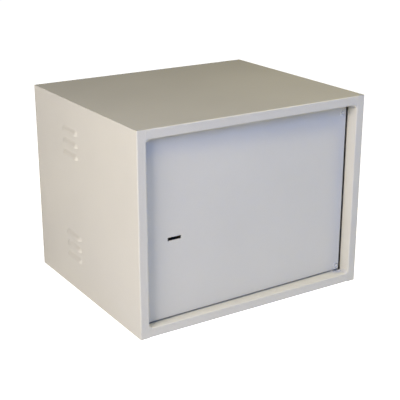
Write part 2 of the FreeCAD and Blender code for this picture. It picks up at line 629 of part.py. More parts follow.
# ---------------------------------------------------------------- 19 inch rails
HAT_TOP_X = -251.5  # face of the depth rails that the upright rails bolt to
HAT_HALF = 12.0
HAT_FOOT = 10.0
DEPTH_RAIL_Y = (-172.0, 205.0)
RAIL_BOLT_Y = (RACK_FACE_Y + 12.0, RACK_FACE_Y + 28.0)
RAIL_FLANGE_DEPTH = 38.0
RAIL_LOW, RAIL_HIGH = 12.0, HEIGHT - 12.0
FIXING_RADIUS, FIXING_HOLE_RADIUS = 3.0, 3.3
FIXING_FLATS, FIXING_HEAD = 10.0, 4.0
FIXING_WASHER_RADIUS, FIXING_WASHER = 6.0, 1.4
FIXING_NUT = 5.0


def depth_rail(level):
    """A slotted hat section along the left wall."""
    t = SHEET
    foot_x = LEFT + SHEET + t / 2
    top_x = HAT_TOP_X - t / 2
    outline = [
        (foot_x, level - HAT_HALF - HAT_FOOT), (foot_x, level - HAT_HALF), (top_x, level - HAT_HALF),
        (top_x, level + HAT_HALF), (foot_x, level + HAT_HALF), (foot_x, level + HAT_HALF + HAT_FOOT),
    ]
    y0, y1 = DEPTH_RAIL_Y
    rail = folded_sheet(outline, t, lambda p: Vector(p.x, y0, p.y), Vector(0, y1 - y0, 0))
    half, end = 3.4, 15.0
    slot = block(top_x - 5, top_x + 5, y0 + end, y1 - end, level - half, level + half)
    return rail.cut(slot)


def unit_hole_levels():
    """Heights of every square hole in an upright rail."""
    return [RACK_FOOT + u * UNIT + h for u in range(UNITS) for h in UNIT_HOLES]


def rack_rail():
    """The left upright rail: face with square holes, side flange, rear lip."""
    mid = RAIL_SHEET / 2
    side_x = HAT_TOP_X + mid
    path = [
        (-RACK_CLEAR_X, RACK_FACE_Y + mid),
        (side_x, RACK_FACE_Y + mid),
        (side_x, RACK_FACE_Y + RAIL_FLANGE_DEPTH - mid),
        (side_x + 12, RACK_FACE_Y + RAIL_FLANGE_DEPTH - mid),
    ]
    rail = upright_sheet(path, RAIL_SHEET, RAIL_LOW, RAIL_HIGH)
    half = RACK_HOLE / 2
    x0, x1 = -RACK_HOLE_X - half, -RACK_HOLE_X + half
    y0, y1 = RACK_FACE_Y - 1, RACK_FACE_Y + RAIL_SHEET + 1
    holes = [block(x0, x1, y0, y1, z - half, z + half) for z in unit_hole_levels()]
    for level in DEPTH_RAIL_LEVELS:
        for y in RAIL_BOLT_Y:
            holes.append(rod(FIXING_HOLE_RADIUS, (side_x - 3, y, level), (side_x + 3, y, level)))
    return rail.cut(Part.makeCompound(holes))


def rail_fixings():
    """Bolts, washers and square nuts that clamp the left rail to its depth rails."""
    bolts, washers, nuts = [], [], []
    flange = HAT_TOP_X + RAIL_SHEET
    nut_x = HAT_TOP_X - SHEET
    for level in DEPTH_RAIL_LEVELS:
        for y in RAIL_BOLT_Y:
            seat, under_head = (flange, y, level), (flange + FIXING_WASHER, y, level)
            washers.append(ring(FIXING_WASHER_RADIUS, FIXING_RADIUS + 0.2, seat, under_head))
            shank = rod(FIXING_RADIUS, (nut_x - FIXING_NUT - 1, y, level), under_head)
            head_end = (flange + FIXING_WASHER + FIXING_HEAD, y, level)
            bolts.append(joined([shank, hexagon(FIXING_FLATS, under_head, head_end)]))
            half = FIXING_FLATS / 2
            nut = block(nut_x - FIXING_NUT, nut_x, y - half, y + half, level - half, level + half)
            bore = rod(FIXING_RADIUS, (nut_x - FIXING_NUT - 2, y, level), (nut_x + 1, y, level))
            nuts.append(nut.cut(bore))
    return bolts, washers, nuts


def cage_nuts():
    """Cage nuts in the outer holes of the lowest and the highest unit of the left rail."""
    levels = [RACK_FOOT + u * UNIT + UNIT_HOLES[h] for u in (0, UNITS - 1) for h in (0, 2)]
    nuts, cages = [], []
    x, face_back = -RACK_HOLE_X, RACK_FACE_Y + RAIL_SHEET
    nut_back = face_back + 4.5
    leaf = 0.6
    for z in levels:
        body = joined([
            block(x - 5.6, x + 5.6, face_back, nut_back, z - 3.7, z + 3.7),
            rod(3.6, (x, RACK_FACE_Y + 0.2, z), (x, face_back, z)),
        ])
        nuts.append(body.cut(rod(2.5, (x, RACK_FACE_Y - 2, z), (x, nut_back + 2, z))))
        back = block(x - 4.5, x + 4.5, nut_back, nut_back + leaf, z - 4.6, z + 4.6)
        clip = [back.cut(rod(3.2, (x, nut_back - 1, z), (x, nut_back + 2, z)))]
        for sign in (-1, 1):
            near, far = z + sign * 4.0, z + sign * 4.6
            low, high = sorted((near, far))
            clip.append(block(x - 4.5, x + 4.5, RACK_FACE_Y - leaf, nut_back, low, high))
            low, high = sorted((near, z + sign * 6.4))
            clip.append(block(x - 4.5, x + 4.5, RACK_FACE_Y - leaf, RACK_FACE_Y, low, high))
        cages.append(joined(clip))
    return nuts, cages


def both_sides(name, solids):
    """Exports pieces of the left rail together with their mirror images."""
    export(name, Part.makeCompound(solids + [mirrored(s) for s in solids]))


def rack_parts():
    """Upright rails, depth rails and their hardware."""
    rail = rack_rail()
    export("rack_rail_left", rail)
    export("rack_rail_right", mirrored(rail))
    for where, level in zip(("lower", "upper"), DEPTH_RAIL_LEVELS):
        hat = depth_rail(level)
        export("depth_rail_left_" + where, hat)
        export("depth_rail_right_" + where, mirrored(hat))
    bolts, washers, nuts = rail_fixings()
    both_sides("rail_bolts", bolts)
    both_sides("rail_washers", washers)
    both_sides("rail_square_nuts", nuts)
    blocks, cages = cage_nuts()
    both_sides("cage_nut_blocks", blocks)
    both_sides("cage_nut_cages", cages)


# ---------------------------------------------------------------- earthing
EARTH_RADIUS, EARTH_LENGTH = 3.0, 16.0
EARTH_NUT_FLATS, EARTH_NUT, EARTH_WASHER = 10.0, 4.0, 1.2


def earth_point(name, root, direction, place=Part.Shape.copy):
    """A welded M6 stud with a lock nut, and a washer and nut for the earth lead."""
    root, direction = Vector(*root), Vector(*direction)

    def at(distance):
        return tuple(root + direction * distance)

    export(name + "_stud", place(rod(EARTH_RADIUS, at(0), at(EARTH_LENGTH))))
    washer_top = EARTH_NUT + EARTH_WASHER
    washer = ring(2 * EARTH_RADIUS, EARTH_RADIUS, at(EARTH_NUT), at(washer_top))
    nuts = []
    for low in (0.0, washer_top):
        bore = rod(EARTH_RADIUS, at(low - 1), at(low + EARTH_NUT + 1))
        nuts.append(hexagon(EARTH_NUT_FLATS, at(low), at(low + EARTH_NUT)).cut(bore))
    export(name + "_nuts", place(Part.makeCompound(nuts + [washer])))


def main():
    os.makedirs("parts", exist_ok=True)
    left = side_panel()
    right = mirrored(left)
    export("left_side_panel", left)
    export("right_side_panel", right)
    export("top_panel", top_panel().cut(left).cut(right))
    export("bottom_panel", bottom_panel().cut(left).cut(right))
    export("back_panel", back_panel())
    cable_entry()
    export("frame_corner_welds", corner_welds())
    export("door_panel", swung(door_panel()))
    export("door_stiffener", swung(door_stiffener()))
    hinge_parts()
    door_stops()
    lock_housing()
    export("lock_drum", swung(lock_drum()))
    export("lock_bolt", swung(lock_bolt()))
    lock_inside()
    rack_parts()
    earth_point("cabinet_earth", (-180.0, 180.0, SHEET), (0, 0, 1))
    earth_point("door_earth", (180.0, DOOR_SKIN_BACK, 60.0), (0, 1, 0), swung)


main()
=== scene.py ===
# %% [markdown]
# # A small lockable network cabinet
#
# The cabinet is a box of folded sheet steel, powder coated light grey. Its front edges fold in as
# a narrow frame, and a flat door sits back in that frame on two pivot pins. Six louvres are
# pressed into each side. Inside are two zinc-plated rails for 19 inch equipment.
#
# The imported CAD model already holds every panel, pin, rail and lock part at its real size, so
# this script loads it as a fixed frame and never moves it. What is added here is what CAD leaves
# out: the finish of each surface, the weld beads under the paint, moulded rubber, and the light.

# %% Load the frame
import json
import math

import bpy
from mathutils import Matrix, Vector


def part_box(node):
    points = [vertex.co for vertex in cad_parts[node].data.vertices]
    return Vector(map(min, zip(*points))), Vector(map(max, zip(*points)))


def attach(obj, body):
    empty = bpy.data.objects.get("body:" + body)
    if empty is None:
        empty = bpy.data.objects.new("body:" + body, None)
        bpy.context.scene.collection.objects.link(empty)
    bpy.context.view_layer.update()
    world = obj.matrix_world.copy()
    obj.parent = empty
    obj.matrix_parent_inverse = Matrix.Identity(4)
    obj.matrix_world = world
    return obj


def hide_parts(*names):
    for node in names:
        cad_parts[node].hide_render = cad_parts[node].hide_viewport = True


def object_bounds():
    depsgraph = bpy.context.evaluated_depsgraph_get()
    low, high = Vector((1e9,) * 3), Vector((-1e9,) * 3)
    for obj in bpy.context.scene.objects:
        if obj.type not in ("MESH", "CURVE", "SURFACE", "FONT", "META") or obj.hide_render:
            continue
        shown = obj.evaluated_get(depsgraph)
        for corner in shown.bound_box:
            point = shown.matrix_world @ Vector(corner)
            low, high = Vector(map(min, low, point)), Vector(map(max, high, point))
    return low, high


bpy.ops.wm.read_factory_settings(use_empty=True)
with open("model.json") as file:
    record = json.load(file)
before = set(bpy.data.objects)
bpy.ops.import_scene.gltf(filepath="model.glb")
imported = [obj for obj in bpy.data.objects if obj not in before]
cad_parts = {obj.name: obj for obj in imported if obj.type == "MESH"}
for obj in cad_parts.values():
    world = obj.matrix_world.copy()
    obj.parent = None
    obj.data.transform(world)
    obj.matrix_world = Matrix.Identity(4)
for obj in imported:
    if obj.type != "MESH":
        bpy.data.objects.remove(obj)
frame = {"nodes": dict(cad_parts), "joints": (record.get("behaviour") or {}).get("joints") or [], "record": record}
cad_low, cad_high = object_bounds()
MM = 0.001
print("nodes:", len(frame["nodes"]), "box:", [round(v, 4) for v in (*cad_low, *cad_high)])

# %% [markdown]
# ## Places that the rest is worked out from
#
# A folded sheet has no single part that says "the opening starts here", so the few places used
# more than once are read from the nodes. The corner weld fillets sit exactly in the corners of
# the frame's opening, so their box is the opening. The door's joint gives the pivot line, and
# the low end of its range says how far the resting door stands open.

# %% Places read from the frame
weld_low, weld_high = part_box("frame_corner_welds")
opening_left, opening_right = weld_low.x, weld_high.x
opening_bottom, opening_top = weld_low.z, weld_high.z
front_y, case_top = cad_low.y, cad_high.z
door_joint = next(j for j in frame["joints"] if j["name"] == "door_swing")
hinge = Vector(door_joint["pos_m"])
ajar = math.radians(-door_joint["range_deg"][0])
print("opening:", [round(v / MM, 1) for v in (opening_left, opening_right, opening_bottom, opening_top)])
print("door stands open by", round(math.degrees(ajar), 2), "degrees")

# %% [markdown]
# ## One function that adds a node
#
# Every material below is a chain of shader nodes. Adding one by hand in the editor is three
# steps: add it, type in its settings, pull its links. `add_node` does the same three, so a
# material reads from top to bottom like the recipe it is. Colours are the hex values that a
# paint chart gives, and `linear` turns them into the numbers that a shader works in.


# %% Colour and node helpers
def linear(hex_colour):
    """A colour such as 'CBD0CC' as the shader's linear RGBA."""
    parts = [int(hex_colour[i:i + 2], 16) / 255 for i in (0, 2, 4)]
    return [p / 12.92 if p <= 0.04045 else ((p + 0.055) / 1.055) ** 2.4 for p in parts] + [1.0]


def add_node(tree, kind, sockets, **settings):
    """Adds one node. A socket takes a number, a colour, or the output that feeds it."""
    made = tree.nodes.new("ShaderNode" + kind)
    for name, value in settings.items():
        setattr(made, name, value)
    for name, value in sockets.items():
        if isinstance(value, bpy.types.NodeSocket):
            tree.links.new(value, made.inputs[name])
        else:
            made.inputs[name].default_value = value
    return made


def start_material(name, **shader_values):
    """A material with one Principled shader, and where its surface lies, in metres."""
    material = bpy.data.materials.new(name)
    material.use_nodes = True
    tree = material.node_tree
    tree.nodes.clear()
    values = {key.replace("_", " "): value for key, value in shader_values.items()}
    shader = add_node(tree, "BsdfPrincipled", values)
    add_node(tree, "OutputMaterial", {"Surface": shader.outputs["BSDF"]})
    place = add_node(tree, "TexCoord", {}).outputs["Object"]
    return material, tree, shader, place


def feed(tree, shader, **outputs):
    """Links outputs to the shader's sockets by name."""
    for name, output in outputs.items():
        tree.links.new(output, shader.inputs[name.replace("_", " ")])


print("light grey from the paint chart is", [round(v, 3) for v in linear("CBD0CC")])

# %% [markdown]
# ## Powder coat
#
# Powder coat is dry polyester powder baked onto the steel. It flows out smooth, but not as flat
# as wet paint: it keeps a fine waviness known as orange peel, with waves one to three
# millimetres across, and a faint speckle where coarser grains melted. The eye gets a soft,
# slightly broken highlight instead of a mirror line. A noise texture at the wave's real size
# drives a bump for the peel, and a wide, faint one keeps a large panel from looking printed.

# %% Powder coat
PEEL_WAVE = 3.0 * MM  # drawn at the coarse end of its real range, so that it shows
SPECKLE = 1.2 * MM
PANEL_CLOUD = 160 * MM


def powder_coat(name, light, dark, roughness):
    """Baked paint: orange peel in its height, a faint speckle and cloud in its colour."""
    material, tree, shader, place = start_material(name, IOR=1.5)
    cloud = add_node(tree, "TexNoise", {"Vector": place, "Scale": 1 / PANEL_CLOUD, "Detail": 3.0})
    speckle = add_node(tree, "TexNoise", {"Vector": place, "Scale": 1 / SPECKLE, "Detail": 1.0})
    both = add_node(tree, "Math", {0: cloud.outputs["Fac"], 1: speckle.outputs["Fac"]}, operation="ADD")
    amount = add_node(tree, "MapRange", {"Value": both.outputs[0], "From Min": 0.6, "From Max": 1.4})
    tint = add_node(tree, "MixRGB", {
        "Fac": amount.outputs[0], "Color1": linear(dark), "Color2": linear(light)})
    peel = add_node(tree, "TexNoise", {"Vector": place, "Scale": 1 / PEEL_WAVE, "Detail": 1.0})
    bump = add_node(tree, "Bump", {"Height": peel.outputs["Fac"], "Strength": 0.25, "Distance": 0.1 * MM})
    gloss = add_node(tree, "MapRange", {
        "Value": cloud.outputs["Fac"], "To Min": roughness - 0.04, "To Max": roughness + 0.04})
    feed(tree, shader, Base_Color=tint.outputs[0], Roughness=gloss.outputs[0], Normal=bump.outputs[0])
    return material


case_paint = powder_coat("case_powder_coat", "D2D2CC", "CBCBC6", 0.38)
door_paint = powder_coat("door_powder_coat", "D2D3CF", "CCCDC9", 0.38)
print("powder coats:", case_paint.name, door_paint.name)

# %% [markdown]
# ## Zinc, bare steel and spring steel
#
# The rails, bolts and studs are zinc plated: a bright, slightly blue skin a few thousandths of a
# millimetre thick, which takes on cloudy yellow and blue tints as it ages. The pins and the lock
# bolt are bare steel, turned or ground, so fine scratches run one way. Clips and leaf springs
# are hardened steel, blued to a dark skin. All are metals, so colour sits in the reflection.

# %% Steels
PLATING_CLOUD = 14 * MM
GRIND_LINE = 0.5 * MM  # real grinding lines are ten times finer; these still read as lines


def plated_steel(name, pale, deep, roughness):
    """Plated or blued steel, whose skin clouds over between two tints."""
    material, tree, shader, place = start_material(name, Metallic=1.0)
    cloud = add_node(tree, "TexNoise", {"Vector": place, "Scale": 1 / PLATING_CLOUD, "Detail": 4.0})
    tint = add_node(tree, "MixRGB", {
        "Fac": cloud.outputs["Fac"], "Color1": linear(pale), "Color2": linear(deep)})
    gloss = add_node(tree, "MapRange", {
        "Value": cloud.outputs["Fac"], "To Min": roughness - 0.08, "To Max": roughness + 0.08})
    feed(tree, shader, Base_Color=tint.outputs[0], Roughness=gloss.outputs[0])
    return material


def ground_metal(name, colour, roughness, along):
    """Metal with fine lines that run along one axis, 0 for X, 1 for Y, 2 for Z."""
    material, tree, shader, place = start_material(name, Metallic=1.0, Base_Color=linear(colour))
    squeeze = [1 / GRIND_LINE] * 3
    squeeze[along] = 0.04 / GRIND_LINE
    lines = add_node(tree, "Mapping", {"Vector": place, "Scale": squeeze})
    noise = add_node(tree, "TexNoise", {"Vector": lines.outputs[0], "Scale": 1.0, "Detail": 2.0})
    bump = add_node(tree, "Bump", {"Height": noise.outputs["Fac"], "Strength": 0.3, "Distance": 0.05 * MM})
    gloss = add_node(tree, "MapRange", {
        "Value": noise.outputs["Fac"], "To Min": roughness - 0.1, "To Max": roughness + 0.1})
    feed(tree, shader, Roughness=gloss.outputs[0], Normal=bump.outputs[0])
    return material


zinc = plated_steel("zinc_plated_steel", "C3C7CE", "B4B4AC", 0.34)
turned_steel = ground_metal("turned_bare_steel", "A6A8AB", 0.3, along=0)
blued_spring = plated_steel("blued_spring_steel", "4A4E58", "3A3A3E", 0.32)
print("steels:", zinc.name, turned_steel.name, blued_spring.name)

# %% [markdown]
# ## Brass, phosphated steel and rubber
#
# The lock's levers and the earth nuts are brass, a little dull from handling. The lock case, its
# screws and the keyway drum carry black phosphate, a matt crystal skin that drinks light.
# Grommets and bumpers are moulded nitrile rubber: nearly black, with a fine sandy grain and a
# soft, wide sheen.

# %% Brass, phosphate and rubber
CRYSTAL = 0.7 * MM
RUBBER_GRAIN = 0.8 * MM


def grained(name, colour, lighter, grain, depth, **shader_values):
    """A surface with fine sandy grain in its colour and height."""
    material, tree, shader, place = start_material(name, **shader_values)
    noise = add_node(tree, "TexNoise", {"Vector": place, "Scale": 1 / grain, "Detail": 3.0})
    tint = add_node(tree, "MixRGB", {
        "Fac": noise.outputs["Fac"], "Color1": linear(colour), "Color2": linear(lighter)})
    bump = add_node(tree, "Bump", {"Height": noise.outputs["Fac"], "Strength": 0.4, "Distance": depth})
    feed(tree, shader, Base_Color=tint.outputs[0], Normal=bump.outputs[0])
    return material


brass = ground_metal("rolled_brass", "C9A257", 0.34, along=2)
phosphate = grained("black_phosphate", "17171A", "26262A", CRYSTAL, 0.04 * MM, Roughness=0.62)
rubber = grained("moulded_rubber", "151516", "202022", RUBBER_GRAIN, 0.06 * MM, Roughness=0.7)
print("others:", brass.name, phosphate.name, rubber.name)

# %% [markdown]
# ## Give every CAD node its finish
#
# The record says which material slot each node belongs to. Every slot has one finish here, so
# one loop dresses the whole frame and no node can be forgotten.

# %% Dress the CAD nodes
finish_of = {
    "case_paint": case_paint,
    "door_paint": door_paint,
    "zinc_plate": zinc,
    "bright_steel": turned_steel,
    "spring_steel": blued_spring,
    "brass": brass,
    "lock_black": phosphate,
    "black_rubber": rubber,
}
for part in frame["record"]["subparts"]:
    for slot in frame["nodes"][part["node"]].material_slots:
        slot.material = finish_of[part["material_slot"]]

# %% [markdown]
# ## Helpers for modelling by hand
#
# The loaded nodes are left selected, and operators act on whatever is selected, so each new
# piece starts from an empty selection. A finished piece gets its place written into its mesh,
# a finish, a slot, and the body that it moves with.


# %% Modelling helpers
def start_piece():
    """Leaves edit mode and selects nothing."""
    if bpy.context.object and bpy.context.object.mode != "OBJECT":
        bpy.ops.object.mode_set(mode="OBJECT")
    bpy.ops.object.select_all(action="DESELECT")


def finish_piece(name, material, body, smooth_angle=40):
    """Writes the piece's place into its mesh, and gives it a finish and a body."""
    if bpy.context.object.mode != "OBJECT":
        bpy.ops.object.mode_set(mode="OBJECT")
    piece = bpy.context.object
    piece.name = piece.data.name = name
    bpy.ops.object.transform_apply(location=True, rotation=True, scale=True)
    bpy.ops.object.shade_smooth_by_angle(angle=math.radians(smooth_angle))
    piece.data.materials.clear()
    piece.data.materials.append(material)
    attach(piece, body)
    return piece


def turned(profile, place, along, steps=48):
    """A piece turned on a lathe: a closed outline of (radius, height) points spun about its axis."""
    start_piece()
    bpy.ops.mesh.primitive_circle_add(vertices=len(profile), radius=MM)
    piece = bpy.context.object
    for vertex, (radius, height) in zip(piece.data.vertices, profile):
        vertex.co = (radius, 0, height)
    bpy.ops.object.mode_set(mode="EDIT")
    bpy.ops.mesh.select_all(action="SELECT")
    bpy.ops.mesh.spin(steps=steps, angle=math.tau, center=(0, 0, 0), axis=(0, 0, 1))
    bpy.ops.mesh.select_all(action="SELECT")
    bpy.ops.mesh.remove_doubles(threshold=0.01 * MM)
    bpy.ops.mesh.delete_loose()
    bpy.ops.mesh.select_all(action="SELECT")
    bpy.ops.mesh.normals_make_consistent(inside=False)
    bpy.ops.object.mode_set(mode="OBJECT")
    piece.rotation_euler = Vector((0, 0, 1)).rotation_difference(Vector(along)).to_euler()
    piece.location = place
    return piece


print("helpers ready")

# %% [markdown]
# ## Cable grommets
#
# Each cable hole is lined with a moulded rubber ring that snaps into the plate. The CAD ring is
# right in size but has sharp edges, and moulded rubber never does: every rim is round where the
# tool was. A ring is a shape for the lathe, so its outline is drawn once, with its rims rounded
# by short arcs, and spun about the hole's axis. It stands for the CAD ring.


# %% Grommets
def arc(centre, radius, start, end, points=5):
    """Points along an arc, angles in degrees."""
    turn = [math.radians(start + (end - start) * i / (points - 1)) for i in range(points)]
    return [(centre[0] + radius * math.cos(a), centre[1] + radius * math.sin(a)) for a in turn]


plate_low, plate_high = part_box("cable_entry_plate")
BORE, GROOVE = 16 * MM, 22 * MM  # radii of the cable hole and of the groove that grips the plate
RIM, REAR_RIM = 1.2 * MM, 0.7 * MM
SLACK = 0.1 * MM  # air between the lips and the plate
for side in ("left", "right"):
    low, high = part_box("cable_grommet_" + side)
    centre = (low + high) / 2
    outer = (high.x - low.x) / 2
    front, rear = low.y - centre.y, high.y - centre.y
    plate_front, plate_back = plate_low.y - centre.y - SLACK, plate_high.y - centre.y + SLACK / 2
    outline = (
        arc((BORE + RIM, front + RIM), RIM, 180, 270)
        + arc((outer - RIM, front + RIM), RIM, 270, 360)
        + [(outer, plate_front), (GROOVE, plate_front), (GROOVE, plate_back), (outer, plate_back)]
        + arc((outer - REAR_RIM, rear - REAR_RIM), REAR_RIM, 0, 90)
        + arc((BORE + REAR_RIM, rear - REAR_RIM), REAR_RIM, 90, 180)
    )
    turned(outline, centre, (0, 1, 0), steps=64)
    ring = finish_piece("rubber_grommet_" + side, rubber, "cabinet")
    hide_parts("cable_grommet_" + side)
    print(ring.name, "bore", BORE / MM, "outer", round(outer / MM, 1))

# %% [markdown]
# ## Door bumpers
#
# Two rubber buttons stop the door from ringing against its brackets. Like the grommets they are
# moulded, so each is a turned piece with a round rim and a shallow cup in its face, which lets
# the rubber give. The two are one piece here, because they are one part in the frame.


# %% Bumpers
def join_all(pieces):
    """Makes several finished meshes one piece."""
    start_piece()
    bpy.context.view_layer.update()
    for piece in pieces:
        piece.select_set(True)
    bpy.context.view_layer.objects.active = pieces[0]
    bpy.ops.object.join()
    return bpy.context.object


low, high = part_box("door_stop_bumpers")
bumper_radius, bumper_height = (high.x - low.x) / 2, high.y - low.y
CUP = 0.5 * MM  # depth of the hollow in the button's face
CUP_EDGE, CUP_ROUND = 1.6 * MM, 0.8 * MM
bumper_outline = (
    [(0, CUP), (bumper_radius * 0.5, CUP * 0.8)]
    + arc((bumper_radius - CUP_EDGE, CUP_ROUND), CUP_ROUND, 250, 270, points=3)
    + arc((bumper_radius - RIM, RIM), RIM, 275, 360)
    + [(bumper_radius, bumper_height), (0, bumper_height)]
)
buttons = []
for middle_z in (low.z + bumper_radius, high.z - bumper_radius):
    spot = ((low.x + high.x) / 2, low.y, middle_z)
    buttons.append(turned(bumper_outline, spot, (0, 1, 0), steps=40))
join_all(buttons)
bumpers = finish_piece("rubber_door_bumpers", rubber, "cabinet")
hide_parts("door_stop_bumpers")
print(bumpers.name, "radius", round(bumper_radius / MM, 1), "height", round(bumper_height / MM, 1))

# %% [markdown]
# ## Weld marks over the hinge bushes
#
# The two hinge bushes are welded to the back of the door through round holes in its skin. Each
# hole is filled, dressed and painted over, which leaves a soft ring with a dimple where the
# torch was lifted. The CAD cap is flat-sided; paint and weld metal are not, so the mark is
# turned from an outline that runs out to nothing at its edge. Neither mark cooled evenly, so the
# dimples are pushed to one side afterwards, by moving only the vertices near their middle.

# %% Hinge weld marks
MARK_RADIUS = 6.0 * MM
CREST_RADIUS, CREST_WIDTH, CREST_HEIGHT = 4.3 * MM, 1.2 * MM, 1.8 * MM
DIMPLE_RADIUS, DIMPLE_DEPTH = 2.6 * MM, 0.4 * MM
PLUG = (5.0 * MM, 1.9 * MM)  # radius, and how far it reaches back through the skin
DIMPLE_SHIFT = (0.9 * MM, -0.54 * MM)  # sideways, on the lower and the upper mark
SKIN_TO_PIVOT = 7 * MM  # from the door's face back to the pivot line
EDGE_THICKNESS = 0.1 * MM


def mark_height(radius):
    """How far the weld mark stands proud of the door's face at a distance from its middle."""
    crest = CREST_HEIGHT * math.exp(-((radius - CREST_RADIUS) / CREST_WIDTH) ** 2)
    dimple = DIMPLE_DEPTH * math.exp(-(radius / DIMPLE_RADIUS) ** 2)
    return max(crest - dimple, 0.02 * MM) if radius > DIMPLE_RADIUS else crest - dimple


low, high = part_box("hinge_plug_welds")
into_door = Vector((-math.sin(ajar), math.cos(ajar), 0))
mark_outline = [(MARK_RADIUS * i / 16, -mark_height(MARK_RADIUS * i / 16)) for i in range(17)]
mark_outline += [(MARK_RADIUS, EDGE_THICKNESS), (PLUG[0], EDGE_THICKNESS), PLUG, (0, PLUG[1])]
skin_at_hinge = hinge - into_door * SKIN_TO_PIVOT
marks = []
for middle_z, shift in zip((low.z + MARK_RADIUS, high.z - MARK_RADIUS), DIMPLE_SHIFT):
    spot = (skin_at_hinge.x, skin_at_hinge.y, middle_z)
    mark = turned(mark_outline, spot, into_door, steps=48)
    for vertex in mark.data.vertices:
        near = max(0.0, 1 - math.hypot(vertex.co.x, vertex.co.y) / MARK_RADIUS)
        vertex.co.x += shift * near * min(1.0, near * 2)
    marks.append(mark)
join_all(marks)
marks = finish_piece("painted_hinge_welds", door_paint, "door", smooth_angle=60)
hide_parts("hinge_plug_welds")
print(marks.name, "crest", round(CREST_HEIGHT / MM, 1), "mm")

# %% [markdown]
# ## Dressed seams on the frame
#
# The upright stiles and the level rails of the frame are separate folds, butted and welded at
# the four inner corners. The weld is ground nearly flush before painting, and what is left is a
# low ridge across the rail, with a slow ripple from the grinder. A grid of faces is the easy way
# to a ridge: every row of vertices is lifted into a low hill, the hill's height wanders a
# little along the seam and fades at both ends, and Solidify gives it a back inside the steel.

# %% Seams
SEAM_WIDTH, SEAM_RISE = 3.2 * MM, 0.45 * MM
SEAM_END = 4.0 * MM  # over which each end fades out
SEAM_SINK = 0.05 * MM  # puts the bead's thin edges below the paint
SEAM_THICKNESS = 0.4 * MM
RIPPLE = 5.0 * MM
FOLD = 2.5 * MM  # outside radius of the folds that each seam runs out on


def seam_height(across, along, length):
    """Height of the dressed bead, from its middle line outwards and along its run."""
    hill = math.cos(math.pi * min(1.0, abs(across) / (SEAM_WIDTH / 2)) / 2) ** 2
    wander = 0.8 + 0.2 * math.sin(2.4 * along / RIPPLE) * math.cos(along / RIPPLE)
    fade = min(1.0, (length / 2 - abs(along)) / SEAM_END)
    return SEAM_RISE * hill * wander * math.sin(fade * math.pi / 2) - SEAM_SINK


seam_runs = ((FOLD * 0.6, opening_bottom - FOLD), (opening_top + FOLD, case_top - FOLD * 0.6))
seams = []
for seam_x in (opening_left, opening_right):
    for run_low, run_high in seam_runs:
        start_piece()
        middle = (seam_x, front_y, (run_low + run_high) / 2)
        bpy.ops.mesh.primitive_grid_add(
            x_subdivisions=14, y_subdivisions=40, size=1, location=middle, rotation=(math.pi / 2, 0, 0))
        seam = bpy.context.object
        for vertex in seam.data.vertices:
            across, along = vertex.co.x * SEAM_WIDTH, vertex.co.y * (run_high - run_low)
            vertex.co = (across, along, seam_height(across, along, run_high - run_low))
        back = seam.modifiers.new("back", "SOLIDIFY")
        back.thickness, back.offset = SEAM_THICKNESS, -1
        bpy.ops.object.modifier_apply(modifier="back")
        seams.append(seam)
join_all(seams)
seams = finish_piece("dressed_frame_seams", case_paint, "cabinet", smooth_angle=60)
print(seams.name, "stand", round(SEAM_RISE / MM, 2), "mm proud")

# %% [markdown]
# ## Weld fillets in the corners of the frame
#
# Inside the opening, each corner carries a weld fillet that has been dressed with a small
# grinder, so the corner reads as a short slope and not as a knife edge. The fillet's front end
# is rounded off to meet the folds beside it. It is a loft: one closed outline, repeated down the
# depth. A grid gives all the points at once. One way along it runs round the outline, and its
# first and last columns are then merged. The other way runs the depth, and the two open ends
# are filled. It stands for the plain CAD welds.

# %% Corner fillets
FILLET_LEG = 6.5 * MM
FILLET_ROOT = 0.8 * MM  # how far the outline's corner sinks into the steel
FILLET_HOLLOW = 0.35  # 0 is a straight slope, 1 a full quarter circle
FILLET_START, FILLET_END = 0.35 * MM, 23.0 * MM  # behind the front face
SLOPE_POINTS = 9
COLUMNS, DEPTH_STEPS = SLOPE_POINTS + 1, 22


def fillet_outline(depth):
    """Points (across from the stile, up from the rail) of the fillet's section at a depth."""
    inside_fold = max(0.0, FOLD - depth)
    slide = FOLD - math.sqrt(FOLD ** 2 - inside_fold ** 2)
    leg = FILLET_LEG * math.sqrt(1 - (inside_fold / FOLD) ** 2)
    points = [(-slide - FILLET_ROOT, -slide - FILLET_ROOT)]
    for i in range(SLOPE_POINTS):
        share = i / (SLOPE_POINTS - 1)
        turn = share * math.pi / 2
        across = (1 - share) * (1 - FILLET_HOLLOW) + (1 - math.sin(turn)) * FILLET_HOLLOW
        up = share * (1 - FILLET_HOLLOW) + (1 - math.cos(turn)) * FILLET_HOLLOW
        points.append(((leg + slide) * across - slide, (leg + slide) * up - slide))
    return points + points[:1]


fillets = []
for side_x, sign_x in ((opening_left, 1), (opening_right, -1)):
    for level_z, sign_z in ((opening_bottom, 1), (opening_top, -1)):
        start_piece()
        bpy.ops.mesh.primitive_grid_add(x_subdivisions=COLUMNS, y_subdivisions=DEPTH_STEPS, size=1)
        fillet = bpy.context.object
        for vertex in fillet.data.vertices:
            share = vertex.co.y + 0.5
            depth = FILLET_START + share ** 2 * (FILLET_END - FILLET_START)
            across, up = fillet_outline(depth)[round((vertex.co.x + 0.5) * COLUMNS)]
            vertex.co = (side_x + sign_x * across, front_y + depth, level_z + sign_z * up)
        bpy.ops.object.mode_set(mode="EDIT")
        bpy.ops.mesh.select_all(action="SELECT")
        bpy.ops.mesh.remove_doubles(threshold=0.001 * MM)
        bpy.ops.mesh.fill_holes(sides=0)
        bpy.ops.mesh.select_all(action="SELECT")
        bpy.ops.mesh.normals_make_consistent(inside=False)
        bpy.ops.object.mode_set(mode="OBJECT")
        fillets.append(fillet)
join_all(fillets)
fillets = finish_piece("dressed_corner_welds", case_paint, "cabinet", smooth_angle=50)
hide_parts("frame_corner_welds")
print(fillets.name, "box", [round(v / MM, 1) for v in fillets.dimensions])

